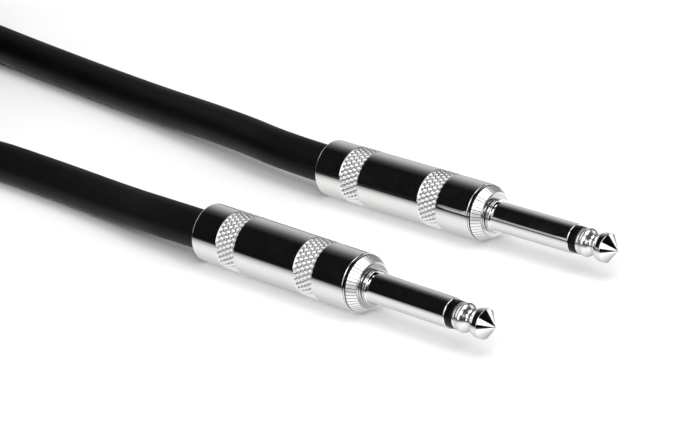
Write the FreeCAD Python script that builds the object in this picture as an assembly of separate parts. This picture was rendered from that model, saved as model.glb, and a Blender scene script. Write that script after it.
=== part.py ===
import FreeCAD, Part
import os
import math

# Instrument cable: two straight 6.35 mm (quarter inch) two-contact plugs, one on
# each end of a 3 m shielded cable.  Millimetres, +Z up, cable lying on z = 0.
# Every plug is turned about its own axis.  Along that axis "s" runs from the
# shoulder that meets the jack panel (s = 0) towards the tip (s > 0) and towards
# the cable (s < 0).

os.makedirs("parts", exist_ok=True)

# ---------------------------------------------------------------- dimensions
AXIS_Z = 6.2             # height of both plug axes, the knurled bands rest on z = 0
PLUG_A = (12.423, -23.85, 0.0)      # x, y of the shoulder centre, yaw in degrees
PLUG_B = (3.073, 24.03, 1.72)

SHAFT_R = 3.175          # 6.35 mm plug shaft
SHAFT_L = 20.5           # shoulder to the front end of the shaft
SHAFT_CH = 0.3
TIP_L = 31.25            # shoulder to the point
BOSS_R, BOSS_L = 3.7, 1.15
FACE_R = 4.9             # flat front face of the flange
BEVEL_R0, BEVEL_S0 = 6.0, -3.15    # rear edge of the serrated bevel
RIM_R, RIM_S = 6.05, -3.85         # rear face of the flange
SPIGOT_R = 5.1           # thread crest of the spigot, 1 mm lead
SPIGOT_S = -11.0         # rear end of the spigot
BORE_R = 2.0             # bore through shaft and spigot
ROD_R = 1.1              # centre rod of the tip contact
RING_R, RING_L = 2.95, 1.7         # black ring between shaft and tip

BARREL_R = 6.15
BAND_R = 6.2             # crests of the two knurled bands
BARREL_F, BARREL_B = -3.95, -46.6  # front and back ends of the barrel
BARREL_EDGE = 0.35
THREAD_R = 5.15          # female thread, 0.05 mm running clearance
THREAD_E = -10.6         # inner end of the female thread
CAVITY_R = 5.45
BACK_WALL = 1.5
CABLE_HOLE_R = 4.8
BANDS = ((-17.5, -12.5), (-39.5, -34.5))

LINER_R0, LINER_R1 = 4.95, 5.37    # insulating liner inside the barrel
LINER_F, LINER_B = -11.7, -44.3

LUG_T = 0.5              # earth lug sheet
LUG_R = 4.55
STRAP_R0, STRAP_R1 = 4.15, 4.6     # earth strip and cable clamp, curved to the cable
CLAMP_F, CLAMP_B = -29.6, -35.4
WASHER_T, WASHER_R = 0.8, 4.4
TIP_LUG_T, TIP_LUG_R = 0.5, 2.9

CABLE_R = 4.2            # 8.4 mm cable
JACKET_S = -28.0         # where the jacket has been stripped back to

COIL_C = (-209.5, -13.6) # centre of the coiled part
COIL_RI, COIL_RO = 34.4, 54.2      # centrelines of the innermost and outermost turns
TIE_T = 1.0              # hook-and-loop strap
TIE_W_DEG = 24.0
TIE_FROM_DEG = -14.0
LAYERS = 4

V = FreeCAD.Vector
XDIR = V(1, 0, 0)


# ---------------------------------------------------------------- helpers
def turned(points):
    """Solid of revolution about the plug axis from (s, r) points."""
    w = Part.makePolygon([V(s, 0, r) for s, r in points] + [V(points[0][0], 0, points[0][1])])
    return Part.Face(w).revolve(V(0, 0, 0), XDIR, 360)


def ring(s0, s1, r0, r1):
    return turned([(s0, r0), (s1, r0), (s1, r1), (s0, r1)])


def sector(s0, s1, r0, r1, mid_deg, half_deg):
    """Part of a tube about the plug axis; 0 degrees is +Z, positive towards +Y."""
    w = Part.makePolygon([V(s0, 0, r0), V(s1, 0, r0), V(s1, 0, r1), V(s0, 0, r1), V(s0, 0, r0)])
    f = Part.Face(w)
    f.rotate(V(0, 0, 0), XDIR, -(mid_deg - half_deg))
    return f.revolve(V(0, 0, 0), XDIR, -2 * half_deg)


def rounded_path(pts, report=None):
    """Straight runs joined by tangent arcs as large as the two runs allow."""
    pts = [V(*p) for p in pts]
    edges, cur, length, radii = [], pts[0], 0.0, []
    for i in range(1, len(pts) - 1):
        a, p, b = pts[i - 1], pts[i], pts[i + 1]
        u, w = p.sub(a), b.sub(p)
        short = min(u.Length, w.Length)
        u.normalize()
        w.normalize()
        half = u.getAngle(w) / 2.0
        cut = 0.45 * short
        rad = cut / math.tan(half)
        radii.append(rad)
        p0 = p.sub(V(u).multiply(cut))
        p1 = p.add(V(w).multiply(cut))
        n = V(w).sub(u)
        n.normalize()
        mid = p.add(V(n).multiply(rad / math.cos(half) - rad))
        edges.append(Part.LineSegment(cur, p0).toShape())
        edges.append(Part.Arc(p0, mid, p1).toShape())
        length += p0.sub(cur).Length + 2 * half * rad
        cur = p1
    edges.append(Part.LineSegment(cur, pts[-1]).toShape())
    length += pts[-1].sub(cur).Length
    if report:
        runs = [pts[i + 1].sub(pts[i]).Length for i in range(len(pts) - 1)]
        print(report, "runs", [round(x, 1) for x in runs])
        print(report, "arc radii", [round(x, 1) for x in radii])
    return Part.Wire(edges), length, pts


def tube(pts, r, report=None):
    wire, length, q = rounded_path(pts, report)
    d = q[1].sub(q[0])
    section = Part.Wire([Part.makeCircle(r, q[0], d)])
    solid = wire.makePipeShell([section], True, False)
    if report:
        print(report, "length", round(length, 1), "volume", round(solid.Volume, 1),
              "section x length", round(math.pi * r * r * length, 1), "valid", solid.isValid())
    return solid


def export(shape, name):
    if shape.ShapeType != "Solid" and len(shape.Solids) == 1:
        shape = shape.Solids[0]
    shape.exportStep("parts/" + name + ".step")
    if not shape.isValid():
        print("INVALID", name)


# ---------------------------------------------------------------- one plug
def make_plug():
    """All pieces of one plug about the X axis, as {name: solid}."""
    p = {}

    # Turned sleeve contact: shaft, stepped boss, bevelled flange, threaded spigot.
    p["sleeve"] = turned([
        (SHAFT_L, BORE_R), (SHAFT_L, SHAFT_R - SHAFT_CH), (SHAFT_L - SHAFT_CH, SHAFT_R),
        (0, SHAFT_R), (0, BOSS_R - 0.12), (-0.12, BOSS_R), (-0.45, BOSS_R), (-0.45, BOSS_R - 0.15),
        (-0.62, BOSS_R - 0.15), (-0.62, BOSS_R), (0.2 - BOSS_L, BOSS_R), (0.2 - BOSS_L, BOSS_R - 0.2),
        (-BOSS_L, BOSS_R - 0.2), (-BOSS_L, FACE_R),
        (BEVEL_S0, BEVEL_R0), (BEVEL_S0 - 0.08, RIM_R), (RIM_S, RIM_R),
        (RIM_S, SPIGOT_R - 0.35), (RIM_S - 0.5, SPIGOT_R - 0.35), (RIM_S - 0.85, SPIGOT_R),
        (SPIGOT_S + 0.4, SPIGOT_R), (SPIGOT_S, SPIGOT_R - 0.4), (SPIGOT_S, BORE_R)])

    # Tip contact and its centre rod, peened over at the back.
    t = SHAFT_L + RING_L
    w0 = RIVET_S = SPIGOT_S - LUG_T - WASHER_T - TIP_LUG_T
    p["tip"] = turned([
        (t, ROD_R), (t, 2.78), (t + 0.12, 2.84), (t + 0.5, 2.84), (t + 0.8, 2.78), (t + 1.15, 2.92), (t + 1.5, 3.04),
        (t + 1.85, 3.0), (t + 2.3, 2.74), (t + 2.75, 2.33), (t + 3.1, 2.08), (t + 3.4, 2.0),
        (t + 3.7, 2.08), (t + 4.1, 2.4), (t + 4.6, 2.78), (t + 5.1, 3.0), (t + 5.6, 3.09),
        (t + 6.7, 3.1), (t + 7.0, 3.04), (t + 7.15, 2.93), (TIP_L - 0.12, 0.28), (TIP_L - 0.03, 0.13),
        (TIP_L, 0.0), (w0 - 0.7, 0.0), (w0 - 0.7, 0.9), (w0 - 0.5, 1.5), (w0, 1.75), (w0, ROD_R)])

    p["tip_ring"] = ring(SHAFT_L, SHAFT_L + RING_L, ROD_R, RING_R)
    p["rod_insulator"] = ring(SPIGOT_S - LUG_T, SHAFT_L, ROD_R, BORE_R)

    # Earth lug: a disc staked behind the spigot, a strip along the bottom and a
    # clamp that is closed round the cable jacket.
    s1 = SPIGOT_S
    lug = ring(s1 - LUG_T, s1, BORE_R, LUG_R)
    lug = lug.fuse(sector(CLAMP_F + 0.1, s1 - 0.1, STRAP_R0, STRAP_R1, 180, 30))
    lug = lug.fuse(sector(CLAMP_B, CLAMP_F, STRAP_R0, STRAP_R1, 180, 168))
    lug = lug.fuse(sector(CLAMP_F - 0.2, CLAMP_F + 0.3, STRAP_R0, STRAP_R1, 180, 30))
    p["earth_lug"] = lug.removeSplitter()

    s2 = s1 - LUG_T
    p["fibre_washer"] = ring(s2 - WASHER_T, s2, ROD_R, WASHER_R - 0.35)

    # Tip lug: small ring under the peened head with a solder tongue above the axis.
    s3 = s2 - WASHER_T
    tl = ring(s3 - TIP_LUG_T, s3, ROD_R, TIP_LUG_R)
    tongue = Part.makeBox(7.6, 2.2, TIP_LUG_T, V(s3 - TIP_LUG_T - 7.1, -1.1, TIP_LUG_R - TIP_LUG_T))
    tl = tl.fuse(tongue).removeSplitter()
    p["tip_lug"] = tl

    # Cable ends inside the barrel: inner insulation, bare core, twisted screen tail.
    end = s3 - TIP_LUG_T - 7.1
    p["core_insulation"] = Part.makeCylinder(1.45, 3.4, V(JACKET_S, 0, 0), XDIR)
    c0 = JACKET_S + 3.4
    core = tube([(c0, 0, 0), (c0 + 1.4, 0, 0), (c0 + 3.4, 0, 1.75), (c0 + 7.6, 0, 1.75)], 0.62)
    p["core_wire"] = core
    tail = tube([(JACKET_S, 0, -2.6), (JACKET_S + 1.8, 0, -2.6), (JACKET_S + 3.6, 0, -3.25), (JACKET_S + 6.6, 0, -3.25)], 0.8)
    p["screen_tail"] = tail

    # Solder joints, each one bead round the wire and against its lug.
    bead = turned([(-1.8, 0), (-1.55, 0.55), (-1.1, 0.9), (-0.4, 1.12), (0.4, 1.12), (1.1, 0.9), (1.55, 0.55), (1.8, 0)])
    b1 = bead.copy()
    b1.translate(V(c0 + 5.6, 0, 1.72))
    p["tip_solder"] = b1.cut(core).cut(tl)
    b2 = bead.copy()
    b2.translate(V(JACKET_S + 4.4, 0, -2.95))
    p["earth_solder"] = b2.cut(tail).cut(lug)

    # Screw-on barrel: front thread, liner cavity, cable hole, two knurled bands.
    e = BARREL_EDGE
    prof = [(BARREL_F, THREAD_R + 0.2), (BARREL_F, BARREL_R - 0.3), (BARREL_F - 0.3, BARREL_R)]
    for f, b in BANDS:
        prof += [(f if f > b else b, BARREL_R), ((f if f > b else b) - 0.05, BAND_R),
                 ((b if f > b else f) + 0.05, BAND_R), ((b if f > b else f), BARREL_R)]
    prof += [(BARREL_B + e, BARREL_R), (BARREL_B + 0.1, BARREL_R - 0.25), (BARREL_B, BARREL_R - 0.6),
             (BARREL_B, CABLE_HOLE_R + 0.2), (BARREL_B + 0.2, CABLE_HOLE_R),
             (BARREL_B + BACK_WALL, CABLE_HOLE_R), (BARREL_B + BACK_WALL, CAVITY_R),
             (THREAD_E, CAVITY_R), (THREAD_E, THREAD_R), (BARREL_F - 0.2, THREAD_R)]
    p["barrel"] = turned(prof)
    p["liner"] = ring(LINER_B, LINER_F, LINER_R0, LINER_R1)
    return p


def place(shape, at):
    s = shape.copy()
    s.rotate(V(0, 0, 0), V(0, 0, 1), at[2])
    s.translate(V(at[0], at[1], AXIS_Z))
    return s


def on_axis(at, s):
    a = math.radians(at[2])
    return (at[0] + s * math.cos(a), at[1] + s * math.sin(a), AXIS_Z)


plug = make_plug()
hard = []
for tag, at in (("a", PLUG_A), ("b", PLUG_B)):
    for name, shape in plug.items():
        s = place(shape, at)
        export(s, "plug_%s_%s" % (tag, name))
        hard.append(s)
        if tag == "a":
            print("%-16s solids %d volume %9.2f valid %s" % (name, len(s.Solids), s.Volume, s.isValid()))

# ---------------------------------------------------------------- the cable
# Both stretches leave their barrel close to its axis, settle from the plug's height
# to the ground within 70 mm and run off side by side to the coil.  One is
# the coil's outer bottom turn, the other climbs to its outer top turn.
FLOOR = CABLE_R
BOTTOM = TIE_T + CABLE_R
TOP = BOTTOM + (LAYERS - 1) * 2 * CABLE_R


def at_coil(r, deg, z):
    return (COIL_C[0] + r * math.cos(math.radians(deg)), COIL_C[1] + r * math.sin(math.radians(deg)), z)


run_a = [on_axis(PLUG_A, JACKET_S), (-45.6, -24.2, 6.0), (-61.8, -22.1, 4.69),
         (-85.2, -20.2, FLOOR), (-113.7, -19.9, FLOOR), (-137.7, -33.4, FLOOR), (-155.0, -53.5, 15.5),
         at_coil(62.2, 303.5, 27.1), at_coil(57.1, 280.5, TOP), at_coil(54.2, 255, TOP)]
run_b = [on_axis(PLUG_B, JACKET_S), (-54.5, 21.9, 6.45), (-76.3, 25.95, 6.18),
         (-112.9, 31.0, FLOOR), (-172.5, 37.1, FLOOR), at_coil(55.0, 85, BOTTOM)]

cable_a = tube(run_a, CABLE_R, "cable_run_a")
cable_b = tube(run_b, CABLE_R, "cable_run_b")
export(cable_a, "cable_run_a")
export(cable_b, "cable_run_b")


def coil_section(gap, round_r):
    """Rounded rectangle round the bundle of turns, in the XZ plane of the coil."""
    x0, x1 = COIL_RI - CABLE_R - gap, COIL_RO + CABLE_R + gap
    z0, z1 = TIE_T - gap, TOP + CABLE_R + gap
    r, k = round_r, round_r * (1 - math.sqrt(0.5))
    e = [Part.LineSegment(V(x0 + r, 0, z0), V(x1 - r, 0, z0)).toShape(),
         Part.Arc(V(x1 - r, 0, z0), V(x1 - k, 0, z0 + k), V(x1, 0, z0 + r)).toShape(),
         Part.LineSegment(V(x1, 0, z0 + r), V(x1, 0, z1 - r)).toShape(),
         Part.Arc(V(x1, 0, z1 - r), V(x1 - k, 0, z1 - k), V(x1 - r, 0, z1)).toShape(),
         Part.LineSegment(V(x1 - r, 0, z1), V(x0 + r, 0, z1)).toShape(),
         Part.Arc(V(x0 + r, 0, z1), V(x0 + k, 0, z1 - k), V(x0, 0, z1 - r)).toShape(),
         Part.LineSegment(V(x0, 0, z1 - r), V(x0, 0, z0 + r)).toShape(),
         Part.Arc(V(x0, 0, z0 + r), V(x0 + k, 0, z0 + k), V(x0 + r, 0, z0)).toShape()]
    return Part.Wire(e)


coil = Part.Face(coil_section(0.0, 4.0)).revolve(V(0, 0, 0), V(0, 0, 1), 360)
coil.translate(V(COIL_C[0], COIL_C[1], 0))
export(coil, "cable_coil")

# Hook-and-loop tie closed round the bundle where neither loose end leaves it.
outer, inner = Part.Face(coil_section(TIE_T, 5.0)), Part.Face(coil_section(0.05, 4.05))
tie = outer.cut(inner)
tie.rotate(V(0, 0, 0), V(0, 0, 1), TIE_FROM_DEG)
tie = tie.revolve(V(0, 0, 0), V(0, 0, 1), TIE_W_DEG)
tie.translate(V(COIL_C[0], COIL_C[1], 0))
export(tie, "cable_tie")

for n, s in (("cable_run_a", cable_a), ("cable_run_b", cable_b), ("cable_coil", coil), ("cable_tie", tie)):
    print("%-16s solids %d volume %9.2f valid %s lowest %.3f" % (
        n, len(s.Solids), s.Volume, s.isValid(), s.optimalBoundingBox(True, False).ZMin))
box = Part.makeCompound(hard).BoundBox
print("plugs box centre %.3f %.3f  x %.3f %.3f  y %.3f %.3f  z %.3f %.3f" % (
    box.Center.x, box.Center.y, box.XMin, box.XMax, box.YMin, box.YMax, box.ZMin, box.ZMax))
box = Part.makeCompound(hard + [cable_a, cable_b, coil, tie]).BoundBox
print("whole box x %.2f %.2f  y %.2f %.2f  z %.3f %.3f" % (box.XMin, box.XMax, box.YMin, box.YMax, box.ZMin, box.ZMax))
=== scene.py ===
import bmesh
import bpy
import math
import numpy as np
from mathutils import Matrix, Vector


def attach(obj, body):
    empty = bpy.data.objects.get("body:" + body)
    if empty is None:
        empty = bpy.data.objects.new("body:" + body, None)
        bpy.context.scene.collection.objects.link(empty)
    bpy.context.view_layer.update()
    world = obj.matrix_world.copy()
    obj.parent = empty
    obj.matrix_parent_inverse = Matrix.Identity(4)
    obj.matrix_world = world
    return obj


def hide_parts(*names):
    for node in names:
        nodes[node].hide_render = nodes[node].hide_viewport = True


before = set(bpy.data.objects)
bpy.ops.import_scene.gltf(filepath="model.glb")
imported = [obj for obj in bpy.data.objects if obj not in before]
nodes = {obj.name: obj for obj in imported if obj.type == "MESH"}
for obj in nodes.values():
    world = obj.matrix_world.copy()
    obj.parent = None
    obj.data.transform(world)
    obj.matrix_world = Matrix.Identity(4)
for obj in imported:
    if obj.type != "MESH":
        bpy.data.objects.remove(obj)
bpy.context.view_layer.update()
MM = 0.001

# ------------------------------------------------------------------ camera
# The camera looks along the plugs from the front right, through a long lens.
CAM_AZ, CAM_EL, CAM_DIST = math.radians(43.13), math.radians(20.18), 0.829
CAM_AT = Vector((-0.031067, 0.01455, 0.0))
back = Vector((math.sin(CAM_AZ) * math.cos(CAM_EL), -math.cos(CAM_AZ) * math.cos(CAM_EL), math.sin(CAM_EL)))
cam_data = bpy.data.cameras.new("camera")
cam_data.sensor_width = 36.0
cam_data.lens = 199.1
cam_data.clip_start, cam_data.clip_end = 0.01, 100.0
cam_data.dof.use_dof = False
cam = bpy.data.objects.new("camera", cam_data)
bpy.context.scene.collection.objects.link(cam)
cam.location = CAM_AT + back * CAM_DIST
cam.rotation_mode = "QUATERNION"
cam.rotation_quaternion = (-back).to_track_quat("-Z", "Y")
bpy.context.scene.camera = cam
bpy.context.scene.view_settings.view_transform = "Standard"

# ------------------------------------------------------------------ plug places
# Same numbers as the CAD model: shoulder centre, yaw; axis height; millimetres.
AXIS_Z = 6.2
PLUGS = {"a": (12.423, -23.85, 0.0), "b": (3.073, 24.03, 1.72)}


def on_axis(tag, s, z=AXIS_Z):
    x, y, yaw = PLUGS[tag]
    a = math.radians(yaw)
    return (x + s * math.cos(a), y + s * math.sin(a), z)


# ------------------------------------------------------------------ materials
def node_mat(name, base, metallic=0.0, rough=0.5, **sockets):
    m = bpy.data.materials.new(name)
    m.use_nodes = True
    nt = m.node_tree
    b = nt.nodes["Principled BSDF"]
    b.inputs["Base Color"].default_value = (*base, 1.0)
    b.inputs["Metallic"].default_value = metallic
    b.inputs["Roughness"].default_value = rough
    for k, v in sockets.items():
        b.inputs[k.replace("_", " ")].default_value = v
    return m, nt, b


def add(nt, kind, **kw):
    n = nt.nodes.new(kind)
    for k, v in kw.items():
        setattr(n, k, v)
    return n


def noise(nt, vec, scale, detail=3.0, rough=0.55):
    n = add(nt, "ShaderNodeTexNoise")
    n.inputs["Scale"].default_value = scale
    n.inputs["Detail"].default_value = detail
    n.inputs["Roughness"].default_value = rough
    nt.links.new(vec, n.inputs["Vector"])
    return n.outputs["Fac"]


def ramp(nt, fac, stops):
    r = add(nt, "ShaderNodeValToRGB")
    el = r.color_ramp.elements
    el[0].position, el[0].color = stops[0][0], (*([stops[0][1]] * 3 if not isinstance(stops[0][1], tuple) else stops[0][1]), 1)
    el[1].position, el[1].color = stops[-1][0], (*([stops[-1][1]] * 3 if not isinstance(stops[-1][1], tuple) else stops[-1][1]), 1)
    for p, c in stops[1:-1]:
        e = el.new(p)
        e.color = (*([c] * 3 if not isinstance(c, tuple) else c), 1)
    nt.links.new(fac, r.inputs["Fac"])
    return r.outputs["Color"]


def scaled(nt, vec, s):
    m = add(nt, "ShaderNodeMapping")
    m.inputs["Scale"].default_value = s
    nt.links.new(vec, m.inputs["Vector"])
    return m.outputs["Vector"]


def bump(nt, b, height, strength, dist, normal=None):
    n = add(nt, "ShaderNodeBump")
    n.inputs["Strength"].default_value = strength
    n.inputs["Distance"].default_value = dist
    nt.links.new(height, n.inputs["Height"])
    if normal is not None:
        nt.links.new(normal, n.inputs["Normal"])
    nt.links.new(n.outputs["Normal"], b.inputs["Normal"])
    return n.outputs["Normal"]


def nickel(name, base, r_lo, r_hi, turn=0.02):
    """Polished nickel plate: faint turning lines round the axis, a little haze and tiny marks."""
    m, nt, b = node_mat(name, base, 1.0, 0.08)
    co = add(nt, "ShaderNodeTexCoord").outputs["Object"]
    haze = noise(nt, co, 260.0, 4.0)
    lines = noise(nt, scaled(nt, co, (9000.0, 60.0, 60.0)), 1.0, 2.0)
    mix = add(nt, "ShaderNodeMath", operation="MULTIPLY_ADD")
    nt.links.new(lines, mix.inputs[0])
    mix.inputs[1].default_value = 0.45
    nt.links.new(haze, mix.inputs[2])
    r = ramp(nt, mix.outputs[0], [(0.35, r_lo), (1.15, r_hi)])
    nt.links.new(r, b.inputs["Roughness"])
    tint = ramp(nt, haze, [(0.3, tuple(c * 0.97 for c in base)), (0.7, base)])
    nt.links.new(tint, b.inputs["Base Color"])
    bump(nt, b, lines, turn, 0.00001)
    return m


NICKEL = nickel("polished_nickel", (0.86, 0.85, 0.84), 0.035, 0.10)
KNURL = nickel("knurled_nickel", (0.97, 0.965, 0.96), 0.24, 0.38, 0.05)
SERRATED = nickel("serrated_nickel", (0.95, 0.945, 0.94), 0.30, 0.42, 0.05)
FACED = nickel("faced_nickel", (0.84, 0.83, 0.82), 0.14, 0.26, 0.10)


def plastic(name, base, rough, spread=0.08, grain=500.0, depth=0.00002, **sockets):
    m, nt, b = node_mat(name, base, 0.0, rough, **sockets)
    co = add(nt, "ShaderNodeTexCoord").outputs["Object"]
    n = noise(nt, co, grain, 4.0)
    nt.links.new(ramp(nt, n, [(0.3, rough - spread), (0.7, rough + spread)]), b.inputs["Roughness"])
    nt.links.new(ramp(nt, n, [(0.3, tuple(c * 0.85 for c in base)), (0.7, tuple(min(1, c * 1.12) for c in base))]), b.inputs["Base Color"])
    bump(nt, b, n, 0.15, depth)
    return m


BLACK_RING = plastic("black_phenolic", (0.0025, 0.0025, 0.0025), 0.28, Specular_IOR_Level=0.12)
NATURAL = plastic("natural_plastic", (0.72, 0.67, 0.55), 0.45)
FIBRE = plastic("brown_fibre", (0.25, 0.10, 0.045), 0.65, grain=1500.0)
WHITE_PE = plastic("core_insulation", (0.80, 0.80, 0.76), 0.35, Subsurface_Weight=0.2)
LINER = plastic("grey_liner", (0.36, 0.38, 0.39), 0.30)


def soft_metal(name, base, rough, grain):
    m, nt, b = node_mat(name, base, 1.0, rough)
    co = add(nt, "ShaderNodeTexCoord").outputs["Object"]
    n = noise(nt, co, grain, 5.0)
    nt.links.new(ramp(nt, n, [(0.3, rough - 0.08), (0.7, rough + 0.12)]), b.inputs["Roughness"])
    nt.links.new(ramp(nt, n, [(0.25, tuple(c * 0.8 for c in base)), (0.7, base)]), b.inputs["Base Color"])
    bump(nt, b, n, 0.2, 0.00003)
    return m


# Dark metal that stands for the shade in knurl pits, grooves, the seam and the flange's rear face: painted shade.
RECESS_SHADE = soft_metal("recess_painted_shade", (0.10, 0.10, 0.10), 0.50, 900.0)
TINNED = soft_metal("tinned_steel", (0.62, 0.62, 0.60), 0.30, 700.0)
BRASS = soft_metal("stamped_brass", (0.78, 0.60, 0.28), 0.28, 600.0)
COPPER = soft_metal("bare_copper", (0.82, 0.42, 0.25), 0.30, 900.0)
SOLDER = soft_metal("tin_solder", (0.66, 0.66, 0.67), 0.22, 500.0)


def jacket():
    """Satin black PVC: extrusion lines along the cable are faint, handling haze is broad."""
    m, nt, b = node_mat("black_cable_jacket", (0.002, 0.002, 0.002), 0.0, 0.42, Specular_IOR_Level=0.10)
    co = add(nt, "ShaderNodeTexCoord").outputs["Object"]
    fine = noise(nt, co, 3500.0, 3.0)
    broad = noise(nt, co, 90.0, 3.0)
    nt.links.new(ramp(nt, broad, [(0.3, 0.40), (0.7, 0.52)]), b.inputs["Roughness"])
    nt.links.new(ramp(nt, broad, [(0.3, (0.0015, 0.0015, 0.0015)), (0.7, (0.0024, 0.0024, 0.0024))]), b.inputs["Base Color"])
    bump(nt, b, fine, 0.12, 0.00003)
    return m


JACKET = jacket()

# ------------------------------------------------------------------ the cable
# One open spline from plug to plug, through the same points as the CAD route; the
# coiled part is four layers of about two and a half turns, wound in, out, in and out.
CABLE_R = 4.2
COIL_C = (-209.5, -13.6)
FLOOR, BOTTOM = CABLE_R, 1.0 + CABLE_R
STEP_UP = 2 * CABLE_R
TOP = BOTTOM + 3 * STEP_UP


def at_coil(r, deg, z):
    return (COIL_C[0] + r * math.cos(math.radians(deg)), COIL_C[1] + r * math.sin(math.radians(deg)), z)


def coil_turns():
    """Control points of the nine and a half turns, from the bottom outside to the top."""
    out, count, climb = [], 152, 80.0
    step = (9 * 360.0 + 170.0) / count
    layer = count * step / 4
    for j in range(count + 1):
        k = min(3, int(j * step / layer + 1e-9))
        t = j * step - k * layer
        ri, ro = 34.4, 54.2 if k == 0 else 52.7
        if k == 0:
            z, u = BOTTOM, t / layer
        else:
            c = min(1.0, t / climb)
            z = BOTTOM + (k - 1) * STEP_UP + STEP_UP * (c * c * (3 - 2 * c))
            u = max(0.0, t - climb) / (layer - climb)
        r = ro + (ri - ro) * u if k % 2 == 0 else ri + (ro - ri) * u
        out.append(at_coil(r / math.cos(math.radians(step / 2)), 85.0 + j * step, z))
    return out


run_b = [on_axis("b", -28.0), (-54.5, 21.9, 6.45), (-76.3, 25.95, 6.18), (-112.9, 31.0, FLOOR), (-172.5, 37.1, FLOOR)]
run_a = [on_axis("a", -28.0), (-45.6, -24.2, 6.0), (-61.8, -22.1, 4.69), (-85.2, -20.2, FLOOR), (-113.7, -19.9, FLOOR),
         (-137.7, -33.4, FLOOR), (-155.0, -53.5, 15.5), at_coil(62.2, 303.5, 27.1), at_coil(57.1, 280.5, TOP)]
route = run_a + coil_turns()[::-1] + run_b[::-1]

curve = bpy.data.curves.new("cable", "CURVE")
curve.dimensions = "3D"
sp = curve.splines.new("NURBS")
sp.points.add(len(route) - 1)
for p, q in zip(sp.points, route):
    p.co = (q[0] * MM, q[1] * MM, q[2] * MM, 1.0)
sp.order_u = 3
sp.use_endpoint_u = True
sp.resolution_u = 10
curve.bevel_depth = CABLE_R * MM
curve.bevel_resolution = 10
curve.use_fill_caps = True
cable = bpy.data.objects.new("cable", curve)
bpy.context.scene.collection.objects.link(cable)
curve.materials.append(JACKET)
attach(cable, "root")
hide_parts("cable_run_a", "cable_run_b", "cable_coil")


# ------------------------------------------------------------------ mesh helpers
def make_mesh(name, verts, faces, mats, face_mat=None, tag=None, sharp=35.0):
    me = bpy.data.meshes.new(name)
    v = np.asarray(verts, float) * MM
    if tag:
        x, y, yaw = PLUGS[tag]
        a = math.radians(yaw)
        c, s = math.cos(a), math.sin(a)
        w = np.empty_like(v)
        w[:, 0] = v[:, 0] * c - v[:, 1] * s + x * MM
        w[:, 1] = v[:, 0] * s + v[:, 1] * c + y * MM
        w[:, 2] = v[:, 2] + AXIS_Z * MM
        v = w
    me.from_pydata(v.tolist(), [], faces)
    bm = bmesh.new()
    bm.from_mesh(me)
    bmesh.ops.recalc_face_normals(bm, faces=bm.faces)
    bm.to_mesh(me)
    bm.free()
    for m in mats:
        me.materials.append(m)
    if face_mat is not None:
        me.polygons.foreach_set("material_index", np.asarray(face_mat, np.int32))
    me.polygons.foreach_set("use_smooth", np.ones(len(faces), bool))
    me.update()
    me.set_sharp_from_angle(angle=math.radians(sharp))
    me.validate()
    o = bpy.data.objects.new(name, me)
    bpy.context.scene.collection.objects.link(o)
    return o


def surface(rings, angles, closed=False):
    """Rings of (s, radius array or number) turned about the X axis. The first and last
    ring may have radius 0, which makes a point. closed joins the last ring to the first."""
    n = len(angles)
    ca, sa = np.cos(angles), np.sin(angles)
    verts, start = [], []
    for s, r in rings:
        start.append(len(verts))
        if np.ndim(r) == 0 and r == 0:
            verts.append((s, 0.0, 0.0))
        else:
            rr = np.broadcast_to(r, (n,))
            ss = np.broadcast_to(s, (n,))
            verts += list(zip(ss, rr * ca, rr * sa))
    faces, row = [], []
    pairs = [(i, i + 1) for i in range(len(rings) - 1)] + ([(len(rings) - 1, 0)] if closed else [])
    for i, j in pairs:
        pi = np.ndim(rings[i][1]) == 0 and rings[i][1] == 0
        pj = np.ndim(rings[j][1]) == 0 and rings[j][1] == 0
        a, b = start[i], start[j]
        for k in range(n):
            k2 = (k + 1) % n
            if pi:
                faces.append((a, b + k2, b + k))
            elif pj:
                faces.append((a + k, a + k2, b))
            else:
                faces.append((a + k, a + k2, b + k2, b + k))
            row.append(i)
    return verts, faces, row


def ride(o, body, slot, *cad):
    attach(o, body)
    if cad:
        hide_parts(*cad)
    return o


def rounded(pts, radii, seg=4):
    """Open polyline with its corners rounded, for turned profiles."""
    out = [pts[0]]
    for i in range(1, len(pts) - 1):
        r = radii[i]
        if r <= 0:
            out.append(pts[i])
            continue
        a, p, b = (np.array(q, float) for q in (pts[i - 1], pts[i], pts[i + 1]))
        u, w = a - p, b - p
        lu, lw = np.linalg.norm(u), np.linalg.norm(w)
        u, w = u / lu, w / lw
        half = math.acos(max(-1.0, min(1.0, float(u @ w)))) / 2
        cut = min(r / math.tan(half), 0.45 * lu, 0.45 * lw)
        rad = cut * math.tan(half)
        c = p + (u + w) / np.linalg.norm(u + w) * (rad / math.sin(half))
        v0, v1 = p + u * cut - c, p + w * cut - c
        ang = math.acos(max(-1.0, min(1.0, float(v0 @ v1) / (rad * rad))))
        for k in range(seg + 1):
            t = k / seg
            q = (math.sin((1 - t) * ang) * v0 + math.sin(t * ang) * v1) / math.sin(ang) + c
            out.append(tuple(q))
    out.append(pts[-1])
    return out


# ------------------------------------------------------------------ barrels
BARREL_R, BAND_R = 6.15, 6.2
KN_ROUND, KN_PITCH, KN_SUB, KN_DEPTH = 33, 2.12, 12, 0.21


def valley(d):
    """0 on a valley line, 1 on the crown of a pad; d is the distance in pitches."""
    return 1 - (1 - np.minimum(1.0, d / 0.5)) ** 2.2


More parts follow.
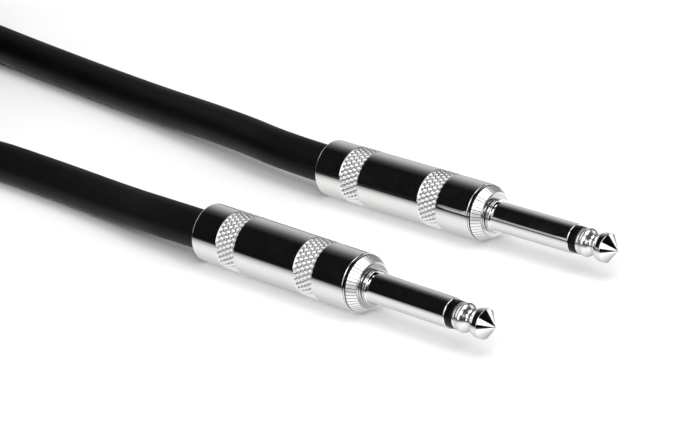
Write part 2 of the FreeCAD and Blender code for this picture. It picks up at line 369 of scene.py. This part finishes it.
def barrel_mesh(tag):
    n = KN_ROUND * KN_SUB
    ang = np.arange(n) * 2 * math.pi / n
    rings, kind = [], []

    def put(s, r, k=None):
        rings.append((s, r))
        kind.append(np.zeros(n, int) if k is None else k)

    # front end, from the thread's mouth outwards: a shallow lead-in and a round edge
    front = rounded([(-4.3, 5.15), (-3.95, 5.38), (-3.95, 6.0), (-3.97, 6.09), (-4.04, 6.14), (-4.14, 6.15), (-5.2, 6.15)],
                    [0, 0.05, 0.03, 0.04, 0.04, 0.05, 0], 3)
    for s, r in front:
        put(s, r)
    last = -5.2
    v = np.arange(n) / KN_SUB
    for hi, lo in ((-12.5, -17.5), (-34.5, -39.5)):
        for s in np.linspace(last, hi + 0.35, 7)[1:]:
            put(s, BARREL_R)
        put(hi + 0.05, BARREL_R)
        m = int((hi - lo) * KN_SUB / KN_PITCH)
        for i in range(m + 1):
            u = i / KN_SUB
            a, b = np.abs(u + v - np.round(u + v)), np.abs(u - v - np.round(u - v))
            fade = min(1.0, (i + 0.6) / 2.0, (m - i + 0.6) / 2.0)
            r = BAND_R - KN_DEPTH * (2 - valley(a) - valley(b)) * fade
            if i in (0, m):
                r = np.minimum(r, BARREL_R - 0.03)
            uc, vc = u + 0.5 / KN_SUB, v + 0.5 / KN_SUB
            ac, bc = np.abs(uc + vc - np.round(uc + vc)), np.abs(uc - vc - np.round(uc - vc))
            # faces where the two valleys cross take the dark recess material: painted shade in the pits
            put(hi - 0.03 - i * KN_PITCH / KN_SUB, r, np.where(ac + bc < 0.10, 2, 1) if i < m else None)
        put(lo - 0.05, BARREL_R)
        last = lo - 0.35
        put(last, BARREL_R)
    for s in np.linspace(last, -46.0, 5)[1:]:
        put(s, BARREL_R)
    rear = rounded([(-46.0, 6.15), (-46.6, 6.15), (-46.6, 4.8), (-45.1, 4.8), (-45.1, 5.45), (-10.6, 5.45), (-10.6, 5.15), (-4.3, 5.15)],
                   [0, 0.33, 0.22, 0.04, 0.04, 0.04, 0.05, 0], 5)
    for s, r in rear[1:-1]:
        put(s, r)
    verts, faces, row = surface(rings, ang, closed=True)
    faces = [tuple(reversed(f)) for f in faces]
    return make_mesh("barrel_" + tag, verts, faces, [NICKEL, KNURL, RECESS_SHADE], np.concatenate(kind), tag, 50.0)


for t in "ab":
    ride(barrel_mesh(t), "barrel_" + t, "barrel_nickel", "plug_%s_barrel" % t)

# ------------------------------------------------------------------ sleeves
SERR = 48


def sleeve_mesh(tag):
    base = np.array([0.0, 0.075, 0.5, 0.925])
    ang = np.concatenate([(k + base) for k in range(SERR)]) * 2 * math.pi / SERR
    groove = np.tile(np.array([1.0, 0.0, 0.0, 0.0]), SERR)
    rings, kind = [], []

    def put(pts, k=0):
        for p in pts:
            rings.append(p)
            kind.append(k)

    # bore mouth, shaft front, shaft
    put(rounded([(20.5, 2.0), (20.5, 3.07), (20.47, 3.13), (20.40, 3.165), (20.32, 3.175), (19.0, 3.175)], [0, 0.02, 0.03, 0.04, 0.04, 0], 3))
    put([(s, 3.175) for s in np.linspace(16.0, 0.9, 6)])
    put([(0.12, 3.175), (0.03, 3.19), (0.0, 3.24)])
    # boss with a groove round its middle and one at its foot, the groove bottoms painted dark as shade
    put(rounded([(0.0, 3.3), (0.0, 3.62), (-0.03, 3.67), (-0.10, 3.7), (-0.45, 3.7)], [0, 0.02, 0.02, 0.03, 0], 2))
    put([(-0.47, 3.56), (-0.60, 3.56)], 2)
    put(rounded([(-0.62, 3.68), (-0.66, 3.7), (-0.91, 3.7), (-0.95, 3.66)], [0, 0.02, 0.02, 0], 2))
    put([(-0.96, 3.5), (-1.14, 3.5)], 2)
    # flat front face
    put([(-1.15, 3.56), (-1.15, 4.0), (-1.15, 4.5), (-1.15, 4.80)], 3)
    # serrated bevel: flat lands and narrow grooves that run out into the rim; the groove faces are painted dark as
    # shade further down
    put([(-1.17, 4.86)], 1)
    a, b = np.array([-1.20, 4.91]), np.array([-3.10, 6.0])
    for k in range(9):
        t = k / 8
        p = a + (b - a) * t
        put([(p[0], p[1] - groove * (0.15 + 0.17 * t))], 1)
    put([(-3.16, 6.01 - groove * 0.34)], 1)
    # open seam, plain rim, rear face; the seam and the rear face are painted dark as shade
    put([(-3.20, 5.95 - groove * 0.3), (-3.22, 5.62), (-3.45, 5.62), (-3.46, 6.0)], 2)
    put([(-3.47, 6.03), (-3.84, 6.03)])
    put([(-3.85, 6.0), (-3.85, 4.75), (-4.35, 4.75)], 2)
    # helical thread of 1 mm lead
    for s in np.arange(-4.5, -10.61, -0.1):
        ph = (s + ang / (2 * math.pi)) % 1.0
        v = np.abs(ph - 0.5) * 2
        crest = np.clip((v - 0.12) / 0.76, 0, 1)
        fade = min(1.0, (-4.4 - s) / 0.5, (s + 10.75) / 0.5)
        put([(s, 4.75 + (5.08 - 4.75) * (crest if fade >= 1 else crest * fade))])
    put([(-10.72, 4.72), (-11.0, 4.62), (-11.0, 2.0)])
    verts, faces, row = surface(rings, ang, closed=True)
    n = len(ang)
    # bevel faces that touch a groove line take the dark recess material: painted shade in the serration grooves
    mats = [2 if kind[i] == 1 and any(v % n % 4 == 0 for v in f) else kind[i] for i, f in zip(row, faces)]
    return make_mesh("sleeve_" + tag, verts, faces, [NICKEL, SERRATED, RECESS_SHADE, FACED], mats, tag, 30.0)


for t in "ab":
    ride(sleeve_mesh(t), "root", "nickel", "plug_%s_sleeve" % t)

# ------------------------------------------------------------------ tips
TIP_S = 22.2
TIP_PROFILE = [(0.0, 2.80), (0.05, 2.85), (0.3, 2.86), (0.6, 2.83), (0.85, 2.84), (1.05, 2.89), (1.3, 2.98), (1.6, 3.04), (1.95, 2.96), (2.3, 2.74),
               (2.7, 2.38), (3.05, 2.1), (3.4, 2.0), (3.75, 2.1), (4.15, 2.42), (4.6, 2.76), (5.05, 2.97), (5.45, 3.07), (5.85, 3.1), (6.35, 3.1)]


def smooth_line(pts, per):
    """Catmull-Rom through the points."""
    p = np.array([pts[0]] + list(pts) + [pts[-1]], float)
    out = []
    for i in range(1, len(p) - 2):
        for k in range(per):
            t = k / per
            q = 0.5 * (2 * p[i] + (p[i + 1] - p[i - 1]) * t + (2 * p[i - 1] - 5 * p[i] + 4 * p[i + 1] - p[i + 2]) * t * t
                       + (3 * p[i] - p[i - 1] - 3 * p[i + 1] + p[i + 2]) * t ** 3)
            out.append(tuple(q))
    out.append(tuple(p[-2]))
    return out


def tip_mesh(tag):
    ang = np.arange(128) * 2 * math.pi / 128
    body = [(TIP_S + s, r) for s, r in smooth_line(TIP_PROFILE, 4)]
    nose = rounded([(TIP_S + 6.35, 3.1), (TIP_S + 6.62, 3.09), (31.25 - 0.10, 0.24), (31.25, 0.0)], [0, 0.10, 0.2, 0], 5)
    rings = [(TIP_S, 1.1)] + body + nose[1:-1] + [(31.25, 0.0)]
    back_end = [(-13.5, 0.0), (-13.5, 0.85), (-13.38, 1.25), (-13.15, 1.6), (-12.8, 1.75), (-12.8, 1.1)]
    verts, faces, row = surface(back_end + rings, ang)
    faces = [tuple(reversed(f)) for f in faces]
    # the turned bulge and neck behind the head are less bright than the head
    soft = [int(all(TIP_S - 0.01 < verts[v][0] < TIP_S + 3.0 for v in f)) for f in faces]
    return make_mesh("tip_" + tag, verts, faces, [NICKEL, FACED], soft, tag, 40.0)


for t in "ab":
    ride(tip_mesh(t), "root", "nickel", "plug_%s_tip" % t)


def ring_mesh(tag):
    ang = np.arange(96) * 2 * math.pi / 96
    prof = rounded([(20.5, 1.1), (20.5, 2.9), (22.2, 2.9), (22.2, 1.1)], [0, 0.08, 0.12, 0], 4)
    verts, faces, row = surface(prof, ang, closed=True)
    return make_mesh("tip_ring_" + tag, verts, faces, [BLACK_RING], None, tag, 40.0)


for t in "ab":
    ride(ring_mesh(t), "root", "black_insulator", "plug_%s_tip_ring" % t)

# ------------------------------------------------------------------ inner pieces keep their CAD shape
for t in "ab":
    for part, mat in (("rod_insulator", NATURAL), ("earth_lug", TINNED), ("fibre_washer", FIBRE), ("tip_lug", BRASS),
                      ("core_insulation", WHITE_PE), ("core_wire", COPPER), ("screen_tail", COPPER),
                      ("tip_solder", SOLDER), ("earth_solder", SOLDER), ("liner", LINER)):
        o = nodes["plug_%s_%s" % (t, part)]
        for sl in o.material_slots:
            sl.material = mat


# ------------------------------------------------------------------ hook-and-loop tie
def webbing():
    m, nt, b = node_mat("black_webbing", (0.02, 0.02, 0.021), 0.0, 0.85, Specular_IOR_Level=0.25, Sheen_Weight=0.25, Sheen_Roughness=0.4)
    co = add(nt, "ShaderNodeTexCoord").outputs["Object"]
    pile = noise(nt, co, 2600.0, 4.0, 0.7)
    cell = add(nt, "ShaderNodeTexVoronoi")
    cell.inputs["Scale"].default_value = 1700.0
    nt.links.new(co, cell.inputs["Vector"])
    both = add(nt, "ShaderNodeMath", operation="MULTIPLY_ADD")
    nt.links.new(cell.outputs["Distance"], both.inputs[0])
    both.inputs[1].default_value = 0.8
    nt.links.new(pile, both.inputs[2])
    nt.links.new(ramp(nt, both.outputs[0], [(0.35, (0.010, 0.010, 0.011)), (1.0, (0.040, 0.040, 0.042))]), b.inputs["Base Color"])
    nt.links.new(ramp(nt, pile, [(0.3, 0.75), (0.7, 0.95)]), b.inputs["Roughness"])
    bump(nt, b, both.outputs[0], 0.6, 0.0003)
    return m


WEBBING = webbing()
TIE_HALF, TIE_MID = 9.0, -2.0


def bundle_path(step=2.0):
    """Points and outward normals round the bundle of turns, in a plane through the coil's axis."""
    r0, r1, z0, z1, c = 30.2, 58.4, 1.0, 34.6, 4.0
    out = []
    centres = [(r1 - c, z0 + c, -90), (r1 - c, z1 - c, 0), (r0 + c, z1 - c, 90), (r0 + c, z0 + c, 180)]
    for i, (cr, cz, a0) in enumerate(centres):
        for k in range(9):
            a = math.radians(a0 + 90 * k / 8)
            out.append((cr + c * math.cos(a), cz + c * math.sin(a), math.cos(a), math.sin(a)))
        p, a = out[-1], math.radians(centres[(i + 1) % 4][2])
        q = (centres[(i + 1) % 4][0] + c * math.cos(a), centres[(i + 1) % 4][1] + c * math.sin(a))
        m = int(math.hypot(q[0] - p[0], q[1] - p[1]) / step)
        for k in range(1, m):
            out.append((p[0] + (q[0] - p[0]) * k / m, p[1] + (q[1] - p[1]) * k / m, p[2], p[3]))
    return out


def strap_piece(name, path, lo, hi, closed, widths):
    """A woven band: flat middle with two raised selvedges, closed into a loop or with two ends."""
    sec = [(-1.0, lo + 0.15), (-0.96, lo), (-0.5, lo), (0.0, lo), (0.5, lo), (0.96, lo), (1.0, lo + 0.15), (1.0, hi - 0.05), (0.97, hi + 0.1),
           (0.90, hi + 0.12), (0.86, hi + 0.02), (0.82, hi), (0.5, hi), (0.25, hi), (0.0, hi), (-0.25, hi), (-0.5, hi), (-0.82, hi),
           (-0.86, hi + 0.02), (-0.90, hi + 0.12), (-0.97, hi + 0.1), (-1.0, hi - 0.05)]
    verts = []
    for (r, z, nr, nz), w in zip(path, widths):
        for y, off in sec:
            rr, zz = r + off * nr, z + off * nz
            a = math.radians(TIE_MID) + math.asin(y * TIE_HALF * w / rr)
            verts.append((COIL_C[0] + rr * math.cos(a), COIL_C[1] + rr * math.sin(a), zz))
    n, m = len(sec), len(path)
    faces = []
    for i in range(m if closed else m - 1):
        a, b = i * n, ((i + 1) % m) * n
        faces += [(a + k, a + (k + 1) % n, b + (k + 1) % n, b + k) for k in range(n)]
    if not closed:
        faces += [tuple(range(n)), tuple((m - 1) * n + k for k in reversed(range(n)))]
    return make_mesh(name, verts, faces, [WEBBING], None, None, 40.0)


loop = bundle_path()
band = ride(strap_piece("tie_band", loop, 0.05, 0.9, True, [1.0] * len(loop)), "root", "jacket", "cable_tie")
first = next(i for i, p in enumerate(loop) if p[0] > 58.3 and p[1] > 14.0)
tongue = loop[first:first + 26]
dist = [0.0]
for p, q in zip(tongue, tongue[1:]):
    dist.append(dist[-1] + math.hypot(q[0] - p[0], q[1] - p[1]))
wide = [math.sqrt(max(0.02, 1 - max(0.0, 1 - (dist[-1] - d) / 9.0) ** 2)) for d in dist]
flap = ride(strap_piece("tie_flap", tongue, 0.95, 1.75, False, wide), "root", "jacket")

# ------------------------------------------------------------------ stage
floor_mat, nt, b = node_mat("white_floor", (0.93, 0.93, 0.93), 0.0, 0.7)
co = add(nt, "ShaderNodeTexCoord").outputs["Object"]
nt.links.new(ramp(nt, noise(nt, co, 40.0), [(0.3, 0.92), (0.7, 0.95)]), b.inputs["Base Color"])
me = bpy.data.meshes.new("floor")
me.from_pydata([(-3, -3, 0), (3, -3, 0), (3, 3, 0), (-3, 3, 0)], [], [(0, 1, 2, 3)])
me.materials.append(floor_mat)
floor = bpy.data.objects.new("floor", me)
bpy.context.scene.collection.objects.link(floor)
floor.visible_glossy = False


def area(name, loc, at, size, power, size_y=None, spread=180):
    l = bpy.data.lights.new(name, "AREA")
    l.energy = power
    l.shape = "RECTANGLE"
    l.size, l.size_y = size, size_y or size
    l.spread = math.radians(spread)
    o = bpy.data.objects.new(name, l)
    bpy.context.scene.collection.objects.link(o)
    o.location = loc
    o.rotation_mode = "QUATERNION"
    o.rotation_quaternion = (Vector(at) - Vector(loc)).to_track_quat("-Z", "Y")
    o.visible_camera = False
    return o


# Softboxes in front and above, and one low at the tips' end, that the cones
# of the tips mirror.
area("front_soft", (0.30, -0.62, 0.62), (0.0, 0.0, 0.0), 0.62, 2.2, 0.45)
area("over_soft", (0.10, 0.10, 0.90), (0.0, 0.0, 0.0), 0.70, 2.7, 0.60)
area("end_soft", (0.70, -0.25, 0.17), (0.04, -0.02, 0.0), 0.46, 0.80, 0.38)

# Surroundings: an even white dome for light, white for what lies past the floor, and
# for mirror reflections the table below, a sweep fading up behind, a strip of light
# across the room and dark walls.
world = bpy.data.worlds.new("studio")
bpy.context.scene.world = world
world.use_nodes = True
wn = world.node_tree
bg = wn.nodes["Background"]
sep = add(wn, "ShaderNodeSeparateXYZ")
wn.links.new(add(wn, "ShaderNodeTexCoord").outputs["Generated"], sep.inputs["Vector"])


def half(v):
    return 0.5 + 0.5 * v


def shade(axis, stops):
    m = add(wn, "ShaderNodeMath", operation="MULTIPLY_ADD")
    wn.links.new(sep.outputs[axis], m.inputs[0])
    m.inputs[1].default_value, m.inputs[2].default_value = 0.5, 0.5
    return ramp(wn, m.outputs[0], [(half(v), c) for v, c in stops])


def blend(kind, a, b):
    m = add(wn, "ShaderNodeMixRGB", blend_type=kind)
    m.inputs["Fac"].default_value = 1.0
    wn.links.new(a, m.inputs["Color1"])
    if isinstance(b, float):
        m.inputs["Color2"].default_value = (b, b, b, 1.0)
    else:
        wn.links.new(b, m.inputs["Color2"])
    return m.outputs["Color"]


table = blend("MULTIPLY", shade("Z", [(-1.0, 0.93), (-0.75, 0.95), (-0.56, 1.0), (-0.42, 0.84), (-0.27, 0.36), (-0.21, 0.03), (-0.15, 0.006)]),
              shade("Y", [(-1.0, 1.0), (-0.36, 1.0), (-0.14, 0.90), (0.15, 0.74), (0.48, 0.62), (0.68, 0.42), (1.0, 0.42)]))
table = blend("MULTIPLY", blend("MULTIPLY", table, shade("X", [(-1.0, 0.62), (-0.55, 0.62), (0.2, 0.73), (0.45, 0.75), (0.6, 0.80), (0.68, 0.80), (0.80, 1.0), (1.0, 1.0)])), 1.6)
table = blend("MULTIPLY", table, blend("LIGHTEN", shade("Z", [(-1.0, 1.0), (-0.46, 1.0), (-0.38, 0.03), (1.0, 0.03)]),
                                       shade("X", [(-1.0, 1.0), (0.66, 1.0), (0.74, 0.0), (1.0, 0.0)])))
sweep = blend("MULTIPLY", shade("Y", [(0.0, 0.006), (0.14, 0.03), (0.32, 0.10), (0.52, 0.31), (0.70, 0.57), (1.0, 0.70)]),
              shade("X", [(-1.0, 1.0), (-0.59, 1.0), (-0.52, 0.0), (1.0, 0.0)]))
behind = blend("MULTIPLY", shade("Y", [(0.0, 0.0), (0.68, 0.0), (0.76, 1.0), (1.0, 1.0)]),
               shade("X", [(-1.0, 0.0), (-0.60, 0.0), (-0.53, 1.0), (1.0, 1.0)]))
behind = blend("MULTIPLY", behind, blend("LIGHTEN", shade("Z", [(-1.0, 1.0), (-0.12, 1.0), (0.04, 0.22), (0.34, 0.04), (1.0, 0.04)]),
                                         shade("X", [(-1.0, 0.0), (0.0, 0.0), (0.15, 1.0), (1.0, 1.0)])))
strip = blend("MULTIPLY", shade("X", [(-1.0, 0.9), (-0.87, 0.8), (-0.82, 0.0), (-0.52, 0.0), (-0.44, 1.0), (0.28, 1.0), (0.42, 0.0), (1.0, 0.0)]),
              shade("Z", [(-1.0, 0.0), (-0.14, 0.0), (-0.02, 1.0), (0.62, 1.0), (0.86, 0.5), (1.0, 0.34)]))
strip = blend("MULTIPLY", strip, shade("Y", [(-1.0, 1.0), (0.42, 1.0), (0.60, 0.12), (1.0, 0.12)]))
room = blend("LIGHTEN", blend("LIGHTEN", table, sweep), blend("MULTIPLY", blend("LIGHTEN", behind, strip), 1.3))
path = add(wn, "ShaderNodeLightPath")
pick = add(wn, "ShaderNodeMixRGB", blend_type="MIX")
wn.links.new(path.outputs["Is Glossy Ray"], pick.inputs["Fac"])
pick.inputs["Color1"].default_value = (0.80, 0.80, 0.80, 1.0)
wn.links.new(room, pick.inputs["Color2"])
wn.links.new(pick.outputs["Color"], bg.inputs["Color"])
bg.inputs["Strength"].default_value = 1.0
